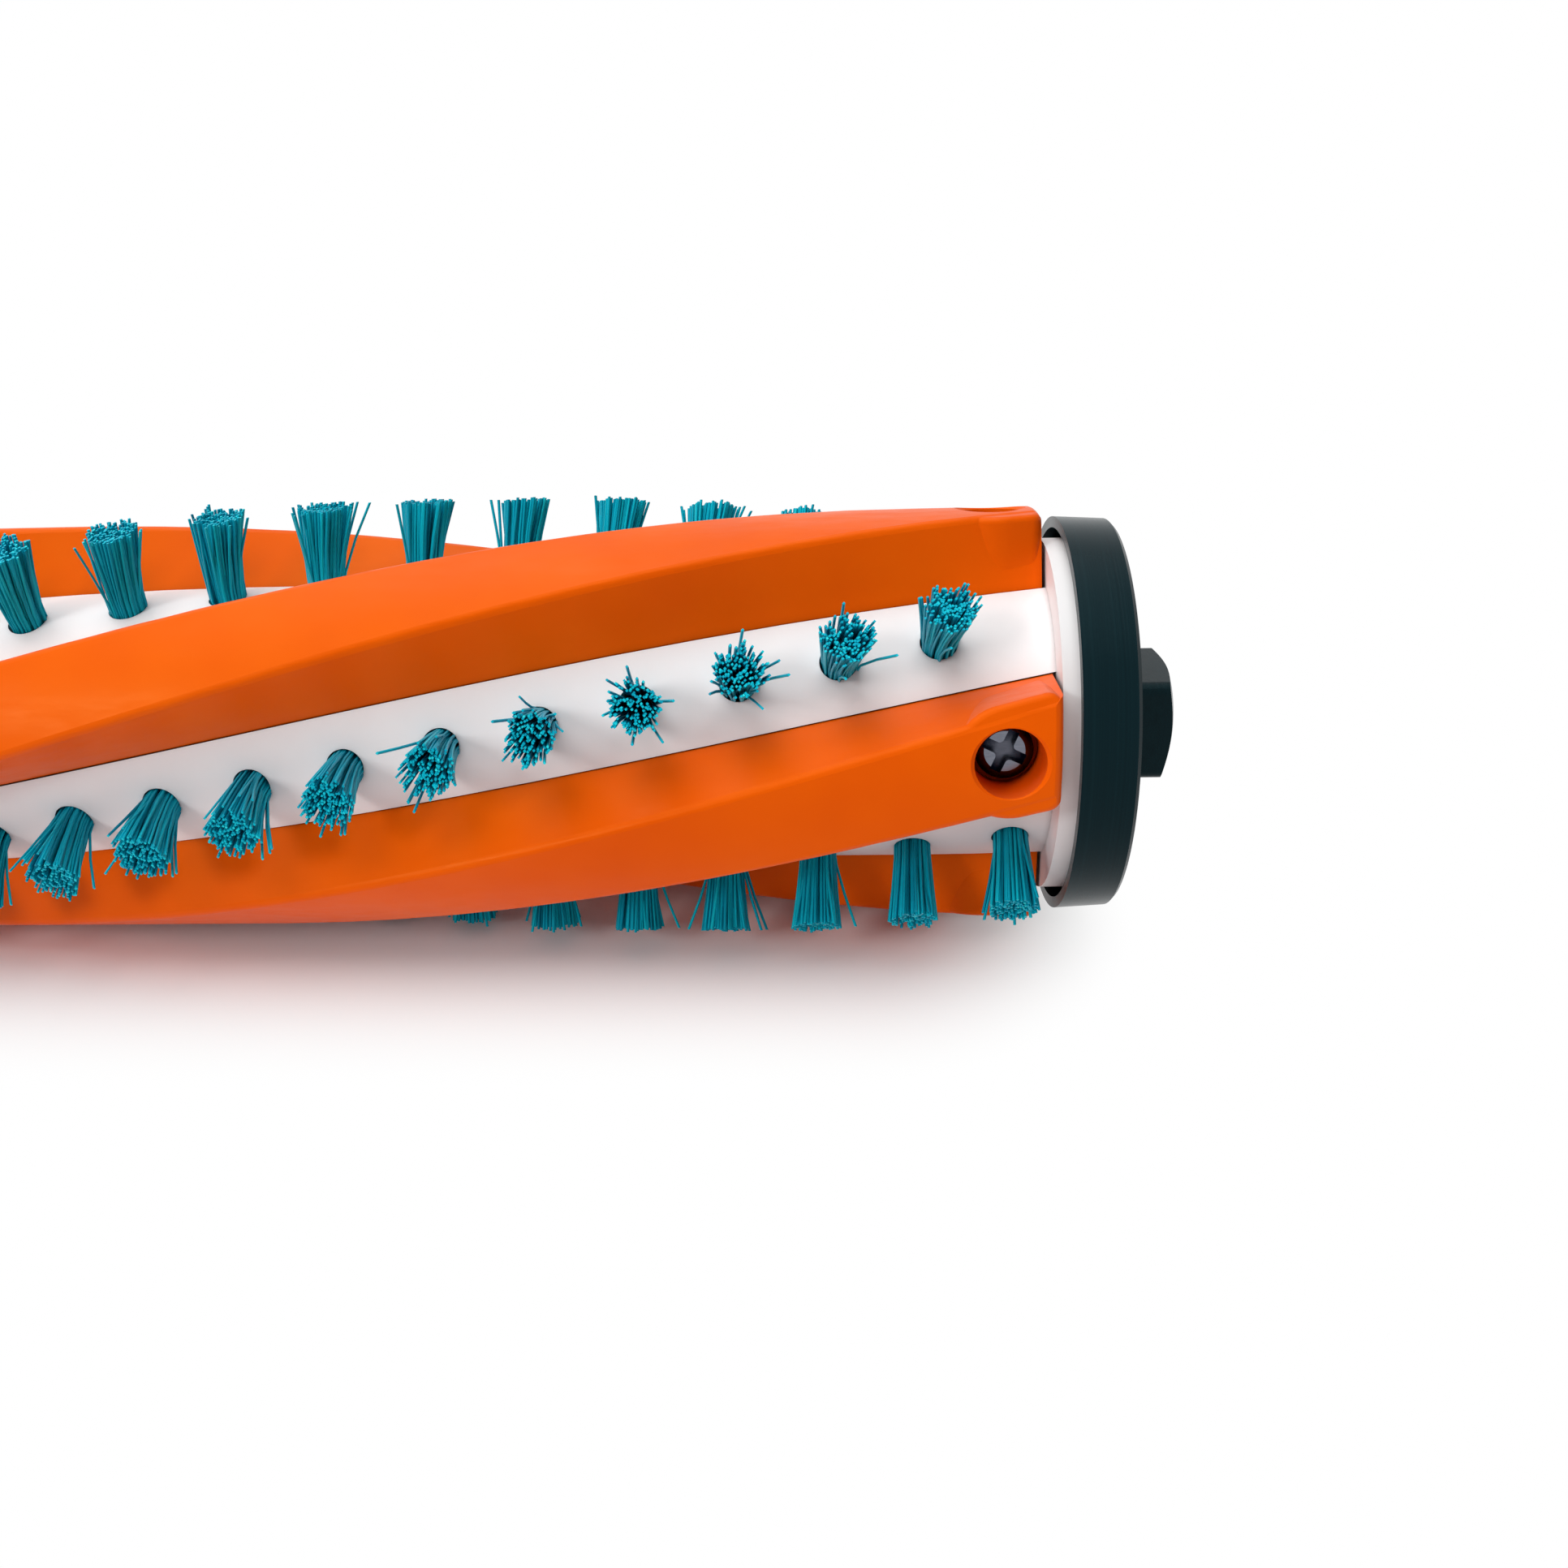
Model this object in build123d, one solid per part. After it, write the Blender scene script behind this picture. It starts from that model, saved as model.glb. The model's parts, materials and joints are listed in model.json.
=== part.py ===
"""Vacuum roller brush: helical beater strips and bristle rows on a moulded core.

Units are millimetres and +Z is up. The roller axis is X, the origin is the centre
of the bounding box, and +X points to the end cap that the photograph shows.
An angle around the axis is measured from the front (-Y) towards the top (+Z).
"""
import os
from math import atan, cos, degrees, radians, sin, sqrt

from build123d import *

# Along the axis
TIP_X = 135.05
CAP_FACE_X = 128.15
CUP_FLOOR_X = 126.1
CAP_RIM_X = 122.3
FLANGE_END_X = 124.0
FLANGE_FACE_X = 120.75
PULLEY_WIDTH = FLANGE_END_X - 113.5
STRIP_END_GAP = 0.4

# Core
CORE_R = 15.9
FLANGE_R = 19.65
FLANGE_EDGE = 0.4

# Helix, and the angle of the first strip at the origin
TURN_PER_MM = 0.72
FIRST_STRIP_ANGLE = 20.1
STRIP_COUNT = 4

# Beater strip section: tangential half-widths and radii
CREST_R = 23.15
CREST_HALF = 4.95
CREST_EDGE = 0.9
FOOT_HALF = 6.3
CHANNEL_FLOOR = 13.4
STRIP_CLEARANCE = 0.15

# Screw bosses at the ends of each strip
BOSS_R = 5.8
BOSS_TOP_R = 23.05
BOSS_FROM_END = 5.1
BOSS_EDGE = 0.7
SEAT_FLOOR = 12.9
SEAT_R = 6.0
COUNTERBORE_R = 3.55
COUNTERBORE_FLOOR = 15.6
COUNTERBORE_LIP = 0.4
SCREW_HOLE_R = 1.8
BOSS_CORNER = 1.5
STRIP_END_EDGE = 1.2

# Pan-head screws with a cross recess
SCREW_HEAD_R = 3.0
SCREW_HEAD_H = 1.9
SCREW_HEAD_EDGE = 0.9
SCREW_HEAD_DROP = 0.6
SCREW_SHANK_R = 1.6
SCREW_LENGTH = 9.0
RECESS_SPAN = 4.5
RECESS_WIDTH = 1.15
RECESS_CORNER = 0.45
RECESS_DEPTH = 1.2
RECESS_TURN = -25

# Bristle tufts and the flat wire anchors that hold their folded roots
TUFT_R = 2.0
TUFT_TIP_R = 3.0
TUFT_SIDES = 10
TUFT_TOP = 25.15
TUFT_FLOOR = 9.0
TUFT_PITCH = 10.4
TUFT_END_MARGIN = 3.6
ROW_STAGGER = TUFT_PITCH / 4
ROW_STEPS = (1, 2, 0, 3)
ANCHOR_WIDTH = 3.9
ANCHOR_HEIGHT = 1.8
ANCHOR_THICKNESS = 0.4

# Shaft, bushes and washers
SHAFT_R = 2.5
SHAFT_END_X = 132.0
SHAFT_CHAMFER = 0.4
BUSH_R = 4.0
BUSH_CLEARANCE = 0.05
BUSH_END_X = 132.2
BUSH_FLANGE_R = 6.0
BUSH_FLANGE_T = 1.0
WASHER_R = 6.5
WASHER_BORE_R = 2.6
WASHER_AIR = 0.06

# End caps
CAP_RIM_R = 22.0
CAP_FACE_R = 21.67
CAP_WALL = 1.2
CAP_EDGE = 0.4
NUB_SIDE = 11.6
NUB_EDGE = 1.2
NUB_CHAMFER_R = 5.2
NUB_CHAMFER_DEG = 17.5
CAP_BORE_END_X = 132.6

# Toothed belt pulley on the end that is out of the picture
PULLEY_R = 17.1
TOOTH_COUNT = 22
TOOTH_DEPTH = 1.9
GROOVE_TOP = 2.9
GROOVE_BOTTOM = 1.9
SPIGOT_FLATS = 18.0
SPIGOT_LENGTH = 5.0

CORE_LEFT_X = PULLEY_WIDTH - FLANGE_END_X
CHANNEL_LEFT_X = CORE_LEFT_X + FLANGE_END_X - FLANGE_FACE_X
MIDDLE_X = (FLANGE_FACE_X + CHANNEL_LEFT_X) / 2
CHANNEL_LENGTH = FLANGE_FACE_X - CHANNEL_LEFT_X
STRIP_LENGTH = CHANNEL_LENGTH - 2 * STRIP_END_GAP
STRIP_LEFT_X = MIDDLE_X - STRIP_LENGTH / 2
BOSS_XS = [MIDDLE_X + side * (STRIP_LENGTH / 2 - BOSS_FROM_END) for side in (-1, 1)]
TURN = 360 / STRIP_COUNT
ROW_OFFSET = 0.5


def strip_angle(index, x):
    return FIRST_STRIP_ANGLE + index * TURN + TURN_PER_MM * x


def across(x, angle):
    """Plane across the axis at x: local X is tangential and local Y points outwards."""
    a = radians(angle)
    return Plane(origin=(x, 0, 0), x_dir=(0, sin(a), cos(a)), z_dir=(1, 0, 0))


def outward(x, angle):
    """Plane through the axis at x whose local Z points outwards and local X along the axis."""
    a = radians(angle)
    return Plane(origin=(x, 0, 0), x_dir=(1, 0, 0), z_dir=(0, -cos(a), sin(a)))


def along_axis(x=0):
    return Plane(origin=(x, 0, 0), x_dir=(0, 1, 0), z_dir=(1, 0, 0))


def rod(radius, start, end, plane=None):
    """Cylinder between two heights of a plane, or between two places on the axis."""
    base = (plane or along_axis()) * Pos(0, 0, (start + end) / 2)
    return base * Cylinder(radius, end - start)


def turned(points):
    """Solid of revolution about the axis from (x, radius) corners."""
    outline = Plane.XY * make_face(Polyline(*points, close=True))
    return revolve(outline, Axis.X)


def helical(section, left_x, length):
    """Sweep a section along the axis while it turns with the helix."""
    return Solid.extrude_linear_with_rotation(
        section.face(), (left_x, 0, 0), (length, 0, 0), -TURN_PER_MM * length
    )


def mirrored(shape):
    return mirror(shape, about=Plane.YZ)


def strip_section():
    foot_height = sqrt(CORE_R**2 - FOOT_HALF**2)
    crest_height = sqrt(CREST_R**2 - CREST_HALF**2)
    bottom = CHANNEL_FLOOR + STRIP_CLEARANCE
    left, right = (-CREST_HALF, crest_height), (CREST_HALF, crest_height)
    crest = ThreePointArc(left, (0, CREST_R), right)
    sides = Polyline(
        right,
        (FOOT_HALF, foot_height),
        (FOOT_HALF, bottom),
        (-FOOT_HALF, bottom),
        (-FOOT_HALF, foot_height),
        left,
    )
    section = make_face([crest, sides])
    return fillet(section.vertices().group_by(Axis.Y)[-1], CREST_EDGE)


def boss(x, angle):
    """Pad round a screw that runs out to the strip's end, trimmed to the sweep of the crest."""
    side = 1 if x > MIDDLE_X else -1
    lean = degrees(atan(radians(TURN_PER_MM) * (CREST_R + CORE_R) / 2))
    tail = Rot(0, 0, lean) * Pos(side * BOSS_R, 0) * Rectangle(2 * BOSS_R, 2 * BOSS_R)
    plan = (Circle(BOSS_R) + tail) & Pos(side * (BOSS_FROM_END - 2 * BOSS_R), 0) * Rectangle(
        4 * BOSS_R, 4 * BOSS_R
    )
    plan = fillet(plan.vertices().group_by(Axis.X)[-1 if side > 0 else 0], BOSS_CORNER)
    pad = extrude(outward(x, angle) * Pos(0, 0, SEAT_FLOOR) * plan, CREST_R)
    pad = pad & rod(BOSS_TOP_R, x - 2 * BOSS_R, x + 2 * BOSS_R)
    top = (outward(x, angle) * Pos(0, 0, CREST_R)).position
    crown = pad.faces().sort_by_distance(top)[0]
    return fillet(crown.edges(), BOSS_EDGE)


def strip_envelope():
    """Body of revolution that rounds the ends of the strips off towards the crest."""
    left, right = MIDDLE_X - STRIP_LENGTH / 2, MIDDLE_X + STRIP_LENGTH / 2
    outside = CREST_R + 0.05
    outline = Polyline((left, 0), (left, outside), (right, outside), (right, 0), close=True)
    outline = make_face(outline)
    outline = fillet(outline.vertices().group_by(Axis.Y)[-1], STRIP_END_EDGE)
    return revolve(outline, Axis.X)


def beater_strip():
    """First strip; the others are the same strip turned about the axis."""
    section = across(STRIP_LEFT_X, strip_angle(0, STRIP_LEFT_X)) * strip_section()
    strip = helical(section, STRIP_LEFT_X, STRIP_LENGTH)
    for x in BOSS_XS:
        strip += boss(x, strip_angle(0, x))
    strip = strip & strip_envelope()
    lip = COUNTERBORE_R + COUNTERBORE_LIP
    for x in BOSS_XS:
        plane = outward(x, strip_angle(0, x))
        strip -= rod(COUNTERBORE_R, COUNTERBORE_FLOOR, CREST_R + 2, plane)
        strip -= plane * Pos(0, 0, CREST_R - COUNTERBORE_LIP) * Cone(
            COUNTERBORE_R, lip + 1, COUNTERBORE_LIP + 1, align=(Align.CENTER, Align.CENTER, Align.MIN)
        )
        strip -= rod(SCREW_HOLE_R, SEAT_FLOOR - 1, COUNTERBORE_FLOOR + 1, plane)
    return strip


def screw():
    """Screw along local Z with the underside of its head at the counterbore floor."""
    top = COUNTERBORE_FLOOR + SCREW_HEAD_H
    head = rod(SCREW_HEAD_R, COUNTERBORE_FLOOR, top, Plane.XY)
    head = chamfer(head.edges().group_by(Axis.Z)[-1], SCREW_HEAD_DROP, SCREW_HEAD_EDGE)
    shank = rod(SCREW_SHANK_R, COUNTERBORE_FLOOR - SCREW_LENGTH, COUNTERBORE_FLOOR, Plane.XY)
    cross = Rectangle(RECESS_SPAN, RECESS_WIDTH) + Rectangle(RECESS_WIDTH, RECESS_SPAN)
    cross = fillet(cross.vertices().sort_by_distance((0, 0, 0))[:4], RECESS_CORNER)
    recess = extrude(Pos(0, 0, top - RECESS_DEPTH) * Rot(0, 0, RECESS_TURN) * cross, RECESS_DEPTH + 1)
    return head + shank - recess


def strip_screws():
    one = screw()
    return [outward(x, strip_angle(i, x)) * one for i in range(STRIP_COUNT) for x in BOSS_XS]


def tuft_places(index):
    """Planes of one row's tufts, counted from the right; the rows are staggered by quarter pitches."""
    margin = TUFT_END_MARGIN + ROW_STEPS[index] * ROW_STAGGER
    last = STRIP_LEFT_X + STRIP_LENGTH - margin
    count = 1 + int((STRIP_LENGTH - margin - TUFT_END_MARGIN) / TUFT_PITCH)
    xs = [last - n * TUFT_PITCH for n in range(count)]
    return [outward(x, strip_angle(index + ROW_OFFSET, x)) for x in xs]


def anchor():
    return Pos(0, 0, TUFT_FLOOR + ANCHOR_HEIGHT / 2) * Box(
        ANCHOR_THICKNESS, ANCHOR_WIDTH, ANCHOR_HEIGHT
    )


def tuft():
    """Bundle of filaments: a packed root in its hole and a head that flares to the tips."""
    outline = RegularPolygon(TUFT_R, TUFT_SIDES)
    tips = RegularPolygon(TUFT_TIP_R, TUFT_SIDES)
    root = extrude(Pos(0, 0, TUFT_FLOOR) * outline, CORE_R - TUFT_FLOOR)
    head = loft([Pos(0, 0, CORE_R) * outline, Pos(0, 0, TUFT_TOP) * tips], ruled=True)
    slot = Pos(0, 0, TUFT_FLOOR + ANCHOR_HEIGHT / 2) * Box(
        ANCHOR_THICKNESS, 3 * TUFT_R, ANCHOR_HEIGHT
    )
    return root + head - slot


def core():
    body = turned(
        [
            (CORE_LEFT_X, 0),
            (CORE_LEFT_X, FLANGE_R - FLANGE_EDGE),
            (CORE_LEFT_X + FLANGE_EDGE, FLANGE_R),
            (CHANNEL_LEFT_X, FLANGE_R),
            (CHANNEL_LEFT_X, CORE_R),
            (FLANGE_FACE_X, CORE_R),
            (FLANGE_FACE_X, FLANGE_R),
            (FLANGE_END_X - FLANGE_EDGE, FLANGE_R),
            (FLANGE_END_X, FLANGE_R - FLANGE_EDGE),
            (FLANGE_END_X, 0),
        ]
    )
    half = FOOT_HALF + STRIP_CLEARANCE
    channel = Pos(0, (CHANNEL_FLOOR + CORE_R) / 2 + 1) * Rectangle(
        2 * half, CORE_R - CHANNEL_FLOOR + 2
    )
    between_flanges = Pos(MIDDLE_X, 0, 0) * Box(CHANNEL_LENGTH, 4 * CORE_R, 4 * CORE_R)
    cuts = [rod(SHAFT_R, CORE_LEFT_X - 1, FLANGE_END_X + 1), pulley_spigot()]
    for i in range(STRIP_COUNT):
        plane = across(CHANNEL_LEFT_X, strip_angle(i, CHANNEL_LEFT_X))
        cuts.append(helical(plane * channel, CHANNEL_LEFT_X, CHANNEL_LENGTH))
        for x in BOSS_XS:
            plane = outward(x, strip_angle(i, x))
            cuts.append(rod(SEAT_R, SEAT_FLOOR, CORE_R + 1, plane) & between_flanges)
            cuts.append(rod(SCREW_SHANK_R, COUNTERBORE_FLOOR - SCREW_LENGTH, CORE_R, plane))
        cuts += [rod(TUFT_R, TUFT_FLOOR, CORE_R + 1, place) for place in tuft_places(i)]
    return body - cuts


def shaft():
    bar = rod(SHAFT_R, -SHAFT_END_X, SHAFT_END_X)
    ends = bar.edges().filter_by(GeomType.CIRCLE)
    return chamfer(ends, SHAFT_CHAMFER)


def pulley_spigot():
    """Hexagon that locks the pulley into the end of the core."""
    hexagon = along_axis(CORE_LEFT_X) * RegularPolygon(SPIGOT_FLATS / 2, 6, major_radius=False)
    return extrude(hexagon, SPIGOT_LENGTH)


def drive_pulley():
    groove = make_face(
        Polyline(
            (-GROOVE_BOTTOM / 2, PULLEY_R - TOOTH_DEPTH),
            (GROOVE_BOTTOM / 2, PULLEY_R - TOOTH_DEPTH),
            (GROOVE_TOP / 2, PULLEY_R + 0.5),
            (-GROOVE_TOP / 2, PULLEY_R + 0.5),
            close=True,
        )
    )
    toothed = Circle(PULLEY_R) - PolarLocations(0, TOOTH_COUNT) * groove
    toothed = extrude(along_axis(-FLANGE_FACE_X) * toothed, CORE_LEFT_X + FLANGE_FACE_X)
    rim = turned(
        [
            (-FLANGE_END_X, 0),
            (-FLANGE_END_X, FLANGE_R - FLANGE_EDGE),
            (FLANGE_EDGE - FLANGE_END_X, FLANGE_R),
            (-FLANGE_FACE_X, FLANGE_R),
            (-FLANGE_FACE_X, 0),
        ]
    )
    bore = rod(SHAFT_R, -FLANGE_END_X - 1, CORE_LEFT_X + SPIGOT_LENGTH + 1)
    return rim + toothed + pulley_spigot() - bore


def end_cap():
    """Stationary cup round the flange, with the square nub that locks it in the housing."""
    inner_rim = CAP_RIM_R - CAP_WALL
    inner_floor = CAP_FACE_R - CAP_WALL
    cup = turned(
        [
            (CUP_FLOOR_X, 0),
            (CUP_FLOOR_X, inner_floor),
            (CAP_RIM_X, inner_rim),
            (CAP_RIM_X, CAP_RIM_R),
            (CAP_FACE_X, CAP_FACE_R),
            (CAP_FACE_X, 0),
        ]
    )
    cup = chamfer(cup.edges().filter_by(GeomType.CIRCLE).group_by(Axis.X)[-1], CAP_EDGE)
    square = along_axis(CUP_FLOOR_X) * RectangleRounded(NUB_SIDE, NUB_SIDE, NUB_EDGE)
    nub = extrude(square, TIP_X - CUP_FLOOR_X)
    slope = sin(radians(NUB_CHAMFER_DEG)) / cos(radians(NUB_CHAMFER_DEG))
    end = turned(
        [
            (CUP_FLOOR_X, 0),
            (CUP_FLOOR_X, NUB_SIDE),
            (TIP_X - (NUB_SIDE - NUB_CHAMFER_R) * slope, NUB_SIDE),
            (TIP_X, NUB_CHAMFER_R),
            (TIP_X, 0),
        ]
    )
    return cup + (nub & end) - rod(BUSH_R, CUP_FLOOR_X - 1, CAP_BORE_END_X)


def bush():
    """Flanged plain bearing pressed into the cap."""
    face = CUP_FLOOR_X - BUSH_FLANGE_T
    sleeve = rod(BUSH_R, CUP_FLOOR_X, BUSH_END_X) + rod(BUSH_FLANGE_R, face, CUP_FLOOR_X)
    return sleeve - rod(SHAFT_R + BUSH_CLEARANCE, face - 1, BUSH_END_X + 1)


def thrust_washer():
    face = CUP_FLOOR_X - BUSH_FLANGE_T - WASHER_AIR
    return rod(WASHER_R, FLANGE_END_X, face) - rod(WASHER_BORE_R, FLANGE_END_X - 1, face + 1)


def repeated(one, places):
    return [place * one for place in places]


def save(node, shapes):
    solids = [solid for shape in shapes for solid in shape.solids()]
    shape = solids[0] if len(solids) == 1 else Compound(children=solids)
    shape.label = node
    export_step(shape, os.path.join("parts", node + ".step"))


os.makedirs("parts", exist_ok=True)
save("core", [core()])
save("shaft", [shaft()])
save("strip_screws", strip_screws())
save("drive_pulley", [drive_pulley()])
one_strip, one_tuft, one_anchor = beater_strip(), tuft(), anchor()
for i in range(STRIP_COUNT):
    row = str(i + 1)
    save("beater_strip_" + row, [Rot(-i * TURN, 0, 0) * one_strip])
    save("bristle_row_" + row, repeated(one_tuft, tuft_places(i)))
    save("tuft_anchors_" + row, repeated(one_anchor, tuft_places(i)))
for name, piece in (("end_cap", end_cap()), ("bush", bush()), ("thrust_washer", thrust_washer())):
    save("right_" + name, [piece])
    save("left_" + name, [mirrored(piece)])
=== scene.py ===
import json
import random
from math import cos, radians, sin, sqrt, tau

import bpy
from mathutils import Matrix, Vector


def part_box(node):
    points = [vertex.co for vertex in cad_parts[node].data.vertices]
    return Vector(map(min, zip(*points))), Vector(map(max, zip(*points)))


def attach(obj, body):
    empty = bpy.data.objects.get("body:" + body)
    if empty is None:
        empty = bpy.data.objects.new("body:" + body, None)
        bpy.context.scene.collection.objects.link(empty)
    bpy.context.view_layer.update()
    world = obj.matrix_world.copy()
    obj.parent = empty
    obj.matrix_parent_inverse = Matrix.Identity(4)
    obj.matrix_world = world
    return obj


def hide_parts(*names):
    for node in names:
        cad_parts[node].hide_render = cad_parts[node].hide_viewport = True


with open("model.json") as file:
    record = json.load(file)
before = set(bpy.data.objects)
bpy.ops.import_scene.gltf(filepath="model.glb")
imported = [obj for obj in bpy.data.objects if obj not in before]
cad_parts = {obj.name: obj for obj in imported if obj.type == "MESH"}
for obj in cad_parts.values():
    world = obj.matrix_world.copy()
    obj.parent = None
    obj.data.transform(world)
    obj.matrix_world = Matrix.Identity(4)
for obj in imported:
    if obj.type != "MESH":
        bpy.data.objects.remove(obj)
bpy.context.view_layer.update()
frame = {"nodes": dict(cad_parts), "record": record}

# Camera, fitted to the photograph
LENS_MM = 30.21
SENSOR_MM = 36.0
CAMERA_PLACE = (0.09915, -0.13649, 0.06507)
CAMERA_TURN_DEG = (61.617, 1.887, 2.038)

# Bristles, in metres; a tuple holds one value for each row
ROWS = 4
CORE_R = 0.0159
ROOT_DEPTH = 0.002
TUFT_GAP = 0.003
FILAMENTS_PER_TUFT = 190
FILAMENT_R = 0.00016
FILAMENT_SIDES = 4
FILAMENT_STEPS = 3
ROOT_RADIUS = 0.0018
TIP_RADIUS = 0.00265
STRAY_SHARE = 0.06
STRAY_SPREAD = (1.25, 1.9)
ROW_TRIM = (0.0, 0.0004, 0.0009, 0.0011)
UNEVEN_TIPS = 0.0003
TUFT_HOLLOW = 0.0004
LEAN_ALONG_AXIS = (0.0011, 0.0005, -0.0002, 0.0009)
LEAN_ROUND_AXIS = (0.0004, 0.0, -0.0009, -0.0010)
LEAN_VARIES = (0.6, 1.4)
WANDER = 0.00008
TONE_MEAN = 0.55
TONE_SPREAD = 0.18
CUT_END_TONE = 0.04

# Stage, in metres and watts
FLOOR_Z = -0.0253
FLOOR_SIZE = 4.0
FLOOR_BOUNCE = (0.85, 0.75, 0.75, 1.0)
SHADOW_HALF_LENGTH = 0.10
SHADOW_FADE = (0.006, 0.034)
LAMP_TARGET = (0.07, 0, 0)
KEY_PLACE = (-0.42, -0.58, 0.40)
KEY_SIZE = (0.22, 0.22)
KEY_LIGHT = 2.1
TOP_PLACE = (-0.05, 0.0, 0.7)
TOP_SIZE = (1.0, 0.7)
TOP_LIGHT = 5.3
WORLD_LIGHT = 0.18

random.seed(11)


class Nodes:
    """Short way to build one node material."""

    def __init__(self, name):
        self.material = bpy.data.materials.new(name)
        self.material.use_nodes = True
        self.tree = self.material.node_tree
        self.tree.nodes.clear()
        self.output = self.add("ShaderNodeOutputMaterial")
        self.shader = self.add("ShaderNodeBsdfPrincipled")
        self.link(self.shader, "BSDF", self.output, "Surface")

    def add(self, kind, **settings):
        node = self.tree.nodes.new(kind)
        for key, value in settings.items():
            setattr(node, key, value)
        return node

    def link(self, source, out, target, into):
        self.tree.links.new(source.outputs[out], target.inputs[into])

    def set(self, **values):
        for key, value in values.items():
            self.shader.inputs[key.replace("_", " ")].default_value = value

    def place(self, scale=(1, 1, 1)):
        """Object coordinates in metres, stretched by a scale."""
        coordinates = self.add("ShaderNodeTexCoord")
        mapping = self.add("ShaderNodeMapping")
        mapping.inputs["Scale"].default_value = scale
        self.link(coordinates, "Object", mapping, "Vector")
        return mapping

    def noise(self, vector, out, scale, detail=4.0, roughness=0.55):
        node = self.add("ShaderNodeTexNoise")
        node.inputs["Scale"].default_value = scale
        node.inputs["Detail"].default_value = detail
        node.inputs["Roughness"].default_value = roughness
        self.link(vector, out, node, "Vector")
        return node

    def ramp(self, source, out, stops):
        """Colour ramp from (position, colour) stops."""
        node = self.add("ShaderNodeValToRGB")
        elements = node.color_ramp.elements
        while len(elements) < len(stops):
            elements.new(0.5)
        for element, (position, colour) in zip(elements, stops):
            element.position = position
            element.color = (*colour, 1.0)
        self.link(source, out, node, "Fac")
        return node

    def spread(self, source, out, low, high, start=0.0, end=1.0):
        """Map a texture's value from start..end to low..high."""
        node = self.add("ShaderNodeMapRange")
        node.inputs["From Min"].default_value = start
        node.inputs["From Max"].default_value = end
        node.inputs["To Min"].default_value = low
        node.inputs["To Max"].default_value = high
        self.link(source, out, node, "Value")
        return node

    def painted_crevice_shade(self, colour, painted_shade_colour, reach, closed=0.15, clear=0.6):
        """Base colour darkened towards a shade colour where neighbouring surfaces close in: painted
        shade in seams, holes and recesses.
        """
        shade = self.add("ShaderNodeAmbientOcclusion", samples=2)
        shade.inputs["Distance"].default_value = reach
        amount = self.spread(shade, "AO", 1.0, 0.0, closed, clear)
        mix = self.add("ShaderNodeMixRGB")
        self.link(amount, "Result", mix, "Fac")
        self.link(colour, "Color", mix, "Color1")
        mix.inputs["Color2"].default_value = (*painted_shade_colour, 1.0)
        self.link(mix, "Color", self.shader, "Base Color")

    def bump(self, height, out, strength, distance):
        node = self.add("ShaderNodeBump")
        node.inputs["Strength"].default_value = strength
        node.inputs["Distance"].default_value = distance
        self.link(height, out, node, "Height")
        self.link(node, "Normal", self.shader, "Normal")


def core_plastic():
    """White moulded plastic with a faint mottle and fine grain."""
    m = Nodes("core_white")
    place = m.place()
    mottle = m.noise(place, "Vector", 90, 3)
    colour = m.ramp(mottle, "Fac", [(0.3, (0.92, 0.90, 0.90)), (0.7, (0.955, 0.945, 0.945))])
    # Painted shade: dark brown where the core meets the strips and round the tuft holes.
    m.painted_crevice_shade(colour, (0.10, 0.045, 0.035), 0.0007)
    grain = m.noise(place, "Vector", 2600, 2)
    m.link(m.spread(grain, "Fac", 0.38, 0.55), "Result", m.shader, "Roughness")
    m.bump(grain, "Fac", 0.15, 0.00004)
    m.set(Specular_IOR_Level=0.4)
    return m.material


def strip_plastic():
    """Orange plastic: satin gloss, slow colour drift and fine scuffs along the strip."""
    m = Nodes("strip_orange")
    place = m.place()
    drift = m.noise(place, "Vector", 45, 3)
    tones = [(0.3, (0.86, 0.100, 0.001)), (0.55, (0.92, 0.118, 0.001)), (0.8, (0.96, 0.138, 0.002))]
    colour = m.ramp(drift, "Fac", tones)
    # Painted shade: deep red along the strip's foot and in its counterbores.
    m.painted_crevice_shade(colour, (0.16, 0.010, 0.001), 0.0012)
    along = m.place((0.25, 1, 1))
    scuffs = m.noise(along, "Vector", 700, 6, 0.7)
    m.link(m.spread(scuffs, "Fac", 0.28, 0.48, 0.3, 0.75), "Result", m.shader, "Roughness")
    m.bump(scuffs, "Fac", 0.12, 0.00005)
    m.set(Specular_IOR_Level=0.18, Specular_Tint=(1.0, 0.6, 0.15, 1.0))
    return m.material


def bristle_nylon():
    """Teal filaments, each with its own tone from a stored attribute, and darker at the root as painted
    shade deep in the tuft.
    """
    m = Nodes("bristle_teal")
    tone = m.add("ShaderNodeAttribute", attribute_name="tone")
    colour = m.ramp(
        tone,
        "Fac",
        [
            (0.0, (0.001, 0.19, 0.31)),
            (0.35, (0.002, 0.40, 0.56)),
            (0.75, (0.004, 0.57, 0.71)),
            (1.0, (0.03, 0.82, 0.87)),
        ],
    )
    m.link(colour, "Color", m.shader, "Base Color")
    streak = m.noise(m.place(), "Vector", 3000, 2)
    m.link(m.spread(streak, "Fac", 0.35, 0.55), "Result", m.shader, "Roughness")
    m.set(Specular_IOR_Level=0.3, Specular_Tint=(0.1, 0.85, 1.0, 1.0))
    return m.material


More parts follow.
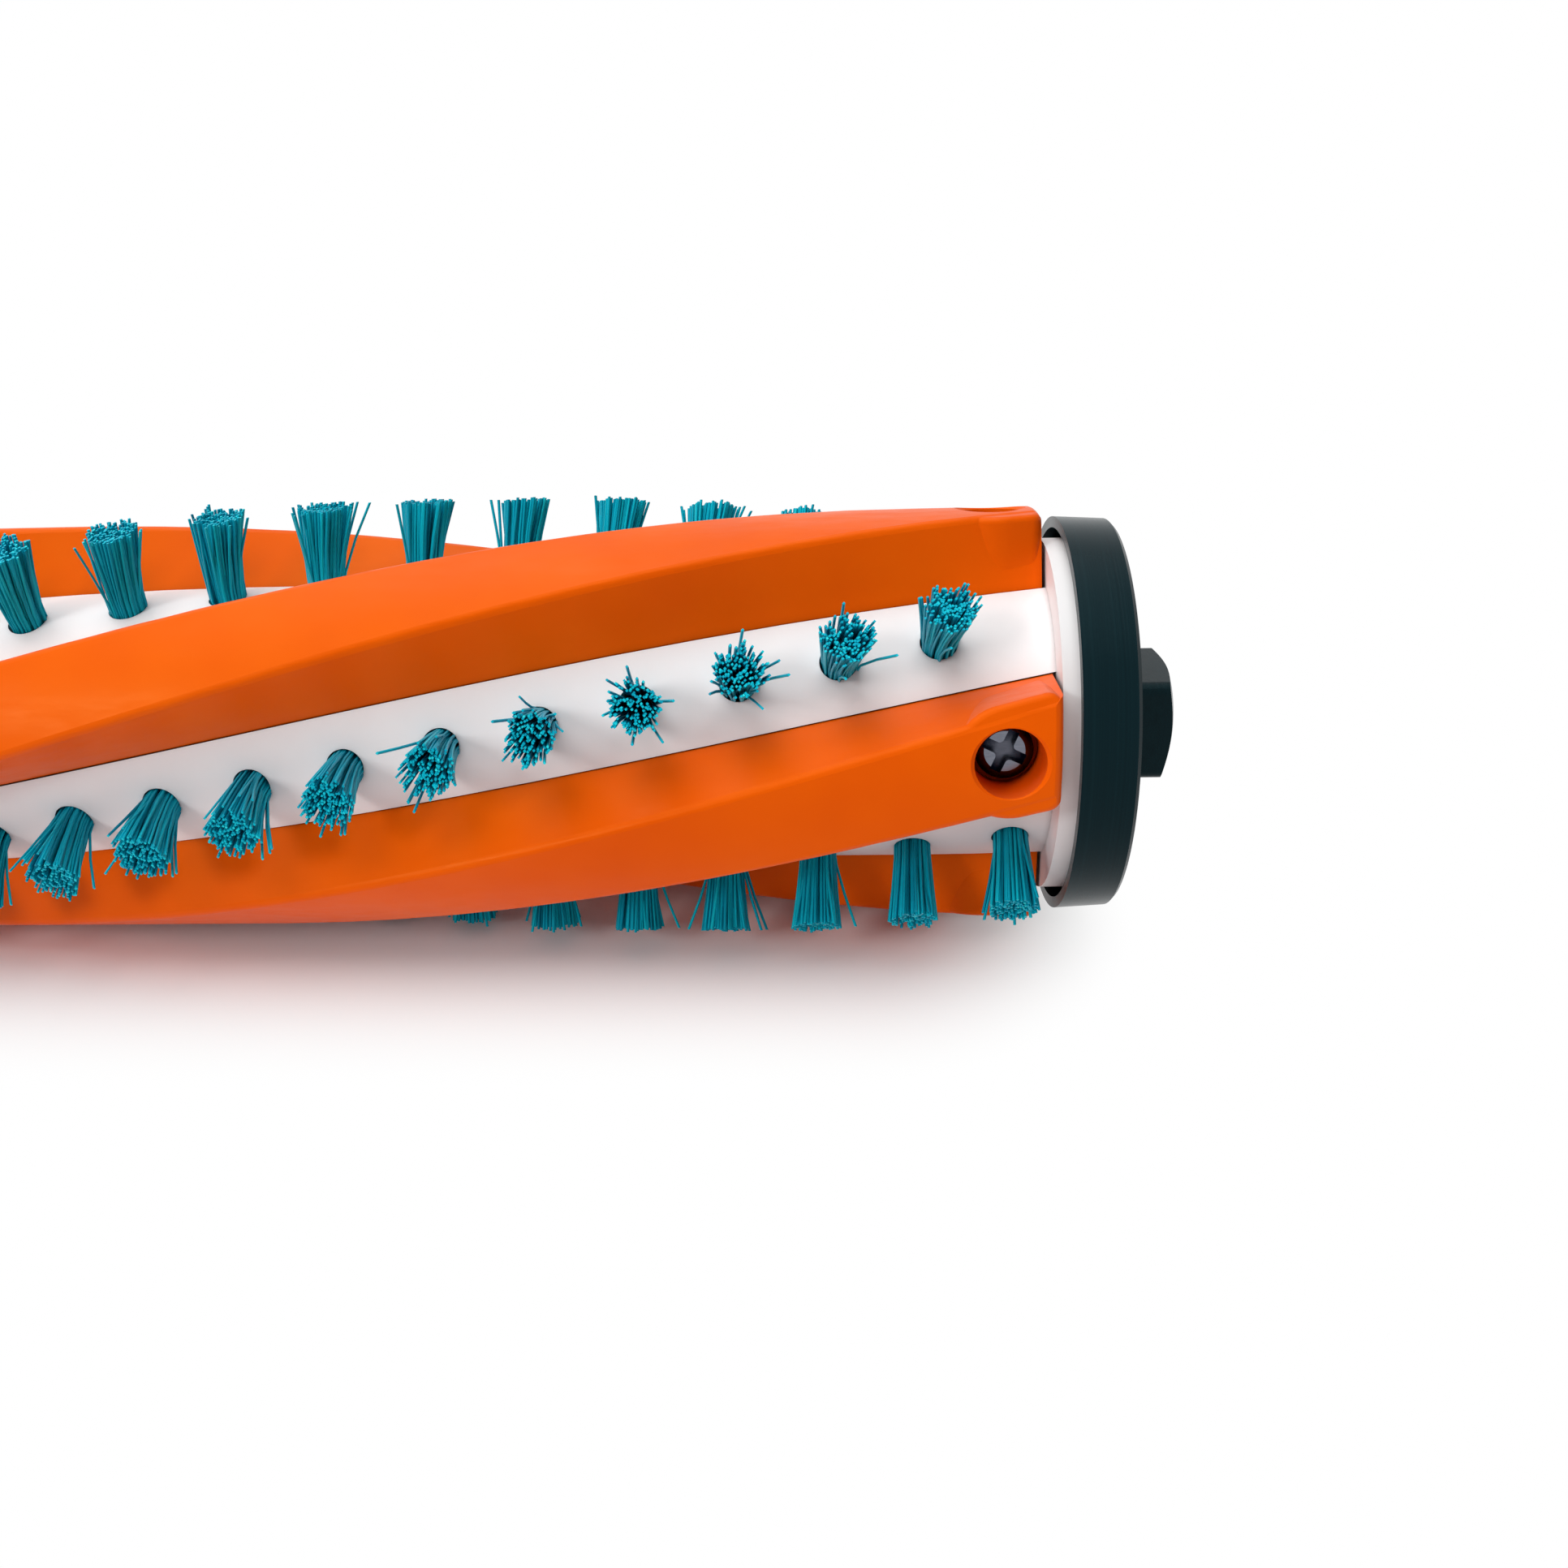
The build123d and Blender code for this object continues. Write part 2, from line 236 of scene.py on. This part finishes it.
def cap_plastic():
    """Dark blue-green plastic with fine streaks round the rim and the face."""
    m = Nodes("cap_dark")
    coordinates = m.add("ShaderNodeTexCoord")
    split = m.add("ShaderNodeSeparateXYZ")
    m.link(coordinates, "Object", split, "Vector")
    radius = m.add("ShaderNodeVectorMath", operation="LENGTH")
    flat = m.add("ShaderNodeCombineXYZ")
    m.link(split, "Y", flat, "Y")
    m.link(split, "Z", flat, "Z")
    m.link(flat, "Vector", radius, "Vector")
    rings = m.add("ShaderNodeCombineXYZ")
    m.link(split, "X", rings, "X")
    m.link(radius, "Value", rings, "Y")
    streaks = m.noise(rings, "Vector", 2200, 5, 0.65)
    patches = m.noise(m.place(), "Vector", 110, 4)
    tones = [
        (0.25, (0.001, 0.006, 0.009)),
        (0.6, (0.002, 0.012, 0.016)),
        (0.85, (0.006, 0.022, 0.028)),
    ]
    colour = m.ramp(streaks, "Fac", tones)
    m.link(colour, "Color", m.shader, "Base Color")
    rough = m.add("ShaderNodeMath", operation="MULTIPLY_ADD")
    rough.inputs[1].default_value = 0.2
    rough.inputs[2].default_value = 0.14
    m.link(patches, "Fac", rough, 0)
    m.link(rough, "Value", m.shader, "Roughness")
    m.bump(streaks, "Fac", 0.35, 0.00005)
    m.set(Specular_IOR_Level=0.12, Specular_Tint=(0.5, 0.9, 1.0, 1.0))
    return m.material


def metal(name, colour, rough_low, rough_high, scale):
    """Metal with a fine grain in its tone and roughness."""
    m = Nodes(name)
    grain = m.noise(m.place((1, 6, 6)), "Vector", scale, 4)
    dark = tuple(0.8 * c for c in colour)
    tone = m.ramp(grain, "Fac", [(0.3, dark), (0.7, colour)])
    # Painted shade: near black in hollows, such as the screw's cross recess.
    m.painted_crevice_shade(tone, (0.003, 0.004, 0.010), 0.0016, 0.5, 0.85)
    m.link(m.spread(grain, "Fac", rough_low, rough_high), "Result", m.shader, "Roughness")
    m.bump(grain, "Fac", 0.08, 0.00003)
    m.set(Metallic=1.0)
    return m.material


def pulley_plastic():
    """Black glass-filled plastic with a fine grain."""
    m = Nodes("pulley_black")
    grain = m.noise(m.place(), "Vector", 1500, 4)
    colour = m.ramp(grain, "Fac", [(0.3, (0.010, 0.010, 0.011)), (0.7, (0.022, 0.022, 0.024))])
    m.link(colour, "Color", m.shader, "Base Color")
    m.link(m.spread(grain, "Fac", 0.4, 0.6), "Result", m.shader, "Roughness")
    m.bump(grain, "Fac", 0.15, 0.00005)
    return m.material


def seen_ray(tree):
    """1 for rays that show the background: straight, mirrored or through glass."""
    path = tree.nodes.new("ShaderNodeLightPath")
    value = path.outputs["Is Camera Ray"]
    for ray in ("Is Glossy Ray", "Is Transmission Ray"):
        either = tree.nodes.new("ShaderNodeMath")
        either.operation = "MAXIMUM"
        tree.links.new(value, either.inputs[0])
        tree.links.new(path.outputs[ray], either.inputs[1])
        value = either.outputs["Value"]
    return value.node


def floor_paint():
    """Floor that fades to plain white where it is seen away from the roller, and bounces less light."""
    m = Nodes("floor_white")
    drift = m.noise(m.place(), "Vector", 3, 2)
    # Pinkish floor colour: painted bounce light from the orange strips, tinting the roller's shadow.
    colour = m.ramp(drift, "Fac", [(0.3, (0.95, 0.865, 0.87)), (0.7, (0.96, 0.88, 0.885))])
    m.link(colour, "Color", m.shader, "Base Color")
    m.set(Roughness=0.8, Specular_IOR_Level=0.1)
    coordinates = m.add("ShaderNodeTexCoord")
    split = m.add("ShaderNodeSeparateXYZ")
    m.link(coordinates, "Object", split, "Vector")
    beyond = m.add("ShaderNodeMath", operation="ABSOLUTE")
    m.link(split, "X", beyond, 0)
    past_end = m.add("ShaderNodeMath", operation="SUBTRACT")
    past_end.inputs[1].default_value = SHADOW_HALF_LENGTH
    m.link(beyond, "Value", past_end, 0)
    outside = m.add("ShaderNodeMath", operation="MAXIMUM")
    outside.inputs[1].default_value = 0.0
    m.link(past_end, "Value", outside, 0)
    away = m.add("ShaderNodeCombineXYZ")
    m.link(outside, "Value", away, "X")
    m.link(split, "Y", away, "Y")
    distance = m.add("ShaderNodeVectorMath", operation="LENGTH")
    m.link(away, "Vector", distance, "Vector")
    fade = m.spread(distance, "Value", 0.0, 1.0, *SHADOW_FADE)
    fade.interpolation_type = "SMOOTHSTEP"
    seen = seen_ray(m.tree)
    plain = m.add("ShaderNodeMath", operation="MULTIPLY")
    m.link(fade, "Result", plain, 0)
    m.link(seen, "Value", plain, 1)
    white = m.add("ShaderNodeEmission")
    mix = m.add("ShaderNodeMixShader")
    m.link(plain, "Value", mix, "Fac")
    m.link(m.shader, "BSDF", mix, 1)
    m.link(white, "Emission", mix, 2)
    shaded = m.add("ShaderNodeBsdfDiffuse")
    shaded.inputs["Color"].default_value = FLOOR_BOUNCE
    bounce = m.add("ShaderNodeMixShader")
    m.link(seen, "Value", bounce, "Fac")
    m.link(shaded, "BSDF", bounce, 1)
    m.link(mix, "Shader", bounce, 2)
    m.link(bounce, "Shader", m.output, "Surface")
    return m.material


def white_world():
    """Even studio surround, plain white where the camera sees it."""
    world = bpy.data.worlds.new("studio")
    world.use_nodes = True
    tree = world.node_tree
    strength = tree.nodes.new("ShaderNodeMapRange")
    strength.inputs["To Min"].default_value = WORLD_LIGHT
    strength.inputs["To Max"].default_value = 1.0
    tree.links.new(seen_ray(tree).outputs["Value"], strength.inputs["Value"])
    tree.nodes["Background"].inputs["Color"].default_value = (1.0, 1.0, 1.0, 1.0)
    tree.links.new(strength.outputs["Result"], tree.nodes["Background"].inputs["Strength"])
    bpy.context.scene.world = world


def tuft_places(row):
    """Place on the axis and outward direction of each tuft, from the wire anchors in the frame."""
    anchors = frame["nodes"][f"tuft_anchors_{row}"].data
    points = sorted((v.co.copy() for v in anchors.vertices), key=lambda p: p.x)
    groups = [[points[0]]]
    for before, point in zip(points, points[1:]):
        if point.x - before.x > TUFT_GAP:
            groups.append([])
        groups[-1].append(point)
    places = []
    for group in groups:
        middle = sum(group, Vector()) / len(group)
        places.append((middle.x, Vector((0, middle.y, middle.z)).normalized()))
    return places


def disc_point(radius):
    """Even random place on a disc."""
    r = radius * sqrt(random.random())
    a = random.uniform(0, tau)
    return r * cos(a), r * sin(a)


def filament(vertices, faces, tones, origin, along, across, outward, top, row):
    """One bristle: a thin bent tube from its root inside the hole to its own tip."""
    u, v = disc_point(1.0)
    stray = random.uniform(*STRAY_SPREAD) if random.random() < STRAY_SHARE else 1.0
    reach = top - random.uniform(0, UNEVEN_TIPS) - TUFT_HOLLOW * (1 - u * u - v * v)
    start = CORE_R - ROOT_DEPTH
    lean_u = LEAN_ALONG_AXIS[row - 1] * random.uniform(*LEAN_VARIES)
    lean_v = LEAN_ROUND_AXIS[row - 1] * random.uniform(*LEAN_VARIES)
    wander_u, wander_v = random.gauss(0, WANDER), random.gauss(0, WANDER)
    tone = min(1.0, max(0.0, random.gauss(TONE_MEAN, TONE_SPREAD)))
    first = len(vertices)
    for step in range(FILAMENT_STEPS + 1):
        share = step / FILAMENT_STEPS
        height = start + (reach - start) * share
        flare = share * share * (1.6 - 0.6 * share)
        spread = ROOT_RADIUS + (TIP_RADIUS * stray - ROOT_RADIUS) * flare
        centre = (
            origin
            + outward * height
            + along * (u * spread + (lean_u + wander_u) * flare)
            + across * (v * spread + (lean_v + wander_v) * flare)
        )
        for side in range(FILAMENT_SIDES):
            a = tau * side / FILAMENT_SIDES
            vertices.append(centre + along * (FILAMENT_R * cos(a)) + across * (FILAMENT_R * sin(a)))
            # Painted shade: each filament's tone darkens towards its root, deep in the tuft.
            tones.append(tone * (0.5 + 0.4 * share))
    for step in range(FILAMENT_STEPS):
        for side in range(FILAMENT_SIDES):
            a = first + step * FILAMENT_SIDES + side
            b = first + step * FILAMENT_SIDES + (side + 1) % FILAMENT_SIDES
            faces.append((a, b, b + FILAMENT_SIDES, a + FILAMENT_SIDES))
    last = len(vertices)
    vertices += vertices[-FILAMENT_SIDES:]
    tones += [min(1.0, tone + CUT_END_TONE)] * FILAMENT_SIDES
    faces.append(tuple(last + side for side in range(FILAMENT_SIDES)))


def bristle_row(row, material):
    """All filaments of one row as one mesh that replaces the row's flared solids."""
    vertices, faces, tones = [], [], []
    low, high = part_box(f"bristle_row_{row}")
    top = max(high.y, high.z, -low.y, -low.z) - ROW_TRIM[row - 1]
    along = Vector((1, 0, 0))
    for x, outward in tuft_places(row):
        origin = Vector((x, 0, 0))
        across = outward.cross(along)
        for _ in range(FILAMENTS_PER_TUFT):
            filament(vertices, faces, tones, origin, along, across, outward, top, row)
    mesh = bpy.data.meshes.new(f"filaments_{row}")
    mesh.from_pydata(vertices, [], faces)
    mesh.polygons.foreach_set("use_smooth", [True] * len(mesh.polygons))
    tone = mesh.attributes.new("tone", "FLOAT", "POINT")
    tone.data.foreach_set("value", tones)
    mesh.materials.append(material)
    piece = bpy.data.objects.new(f"filaments_{row}", mesh)
    bpy.context.scene.collection.objects.link(piece)
    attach(piece, "roller")
    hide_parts(f"bristle_row_{row}")


def area_light(name, place, size, power):
    data = bpy.data.lights.new(name, "AREA")
    data.shape = "RECTANGLE"
    data.size, data.size_y = size
    data.energy = power
    light = bpy.data.objects.new(name, data)
    light.location = place
    light.rotation_euler = (Vector(LAMP_TARGET) - Vector(place)).to_track_quat("-Z", "Y").to_euler()
    bpy.context.scene.collection.objects.link(light)


def paint_nodes():
    materials = {
        "core_white": core_plastic(),
        "strip_orange": strip_plastic(),
        "bristle_teal": bristle_nylon(),
        "cap_dark": cap_plastic(),
        "screw_steel": metal("screw_steel", (0.18, 0.19, 0.23), 0.12, 0.25, 900),
        "shaft_steel": metal("shaft_steel", (0.6, 0.6, 0.61), 0.2, 0.35, 700),
        "washer_steel": metal("washer_steel", (0.62, 0.62, 0.63), 0.25, 0.4, 800),
        "anchor_wire": metal("anchor_wire", (0.55, 0.55, 0.56), 0.3, 0.45, 900),
        "bush_bronze": metal("bush_bronze", (0.62, 0.42, 0.18), 0.35, 0.5, 1200),
        "pulley_black": pulley_plastic(),
    }
    for entry in frame["record"]["subparts"]:
        mesh = frame["nodes"][entry["node"]].data
        mesh.materials.clear()
        mesh.materials.append(materials[entry["material_slot"]])
        mesh.polygons.foreach_set("use_smooth", [True] * len(mesh.polygons))
    return materials


def studio():
    floor_mesh = bpy.data.meshes.new("floor")
    half = FLOOR_SIZE / 2
    plan = [(-half, -half), (half, -half), (half, half), (-half, half)]
    corners = [(x, y, FLOOR_Z) for x, y in plan]
    floor_mesh.from_pydata(corners, [], [(0, 1, 2, 3)])
    floor_mesh.materials.append(floor_paint())
    floor = bpy.data.objects.new("floor", floor_mesh)
    bpy.context.scene.collection.objects.link(floor)

    area_light("key", KEY_PLACE, KEY_SIZE, KEY_LIGHT)
    area_light("top", TOP_PLACE, TOP_SIZE, TOP_LIGHT)
    white_world()


def camera():
    data = bpy.data.cameras.new("camera")
    data.lens = LENS_MM
    data.sensor_width = SENSOR_MM
    data.clip_start = 0.01
    view = bpy.data.objects.new("camera", data)
    view.location = CAMERA_PLACE
    view.rotation_euler = tuple(radians(a) for a in CAMERA_TURN_DEG)
    bpy.context.scene.collection.objects.link(view)
    bpy.context.scene.camera = view


materials = paint_nodes()
for row in range(1, ROWS + 1):
    bristle_row(row, materials["bristle_teal"])
studio()
camera()
bpy.context.scene.view_settings.view_transform = "Standard"
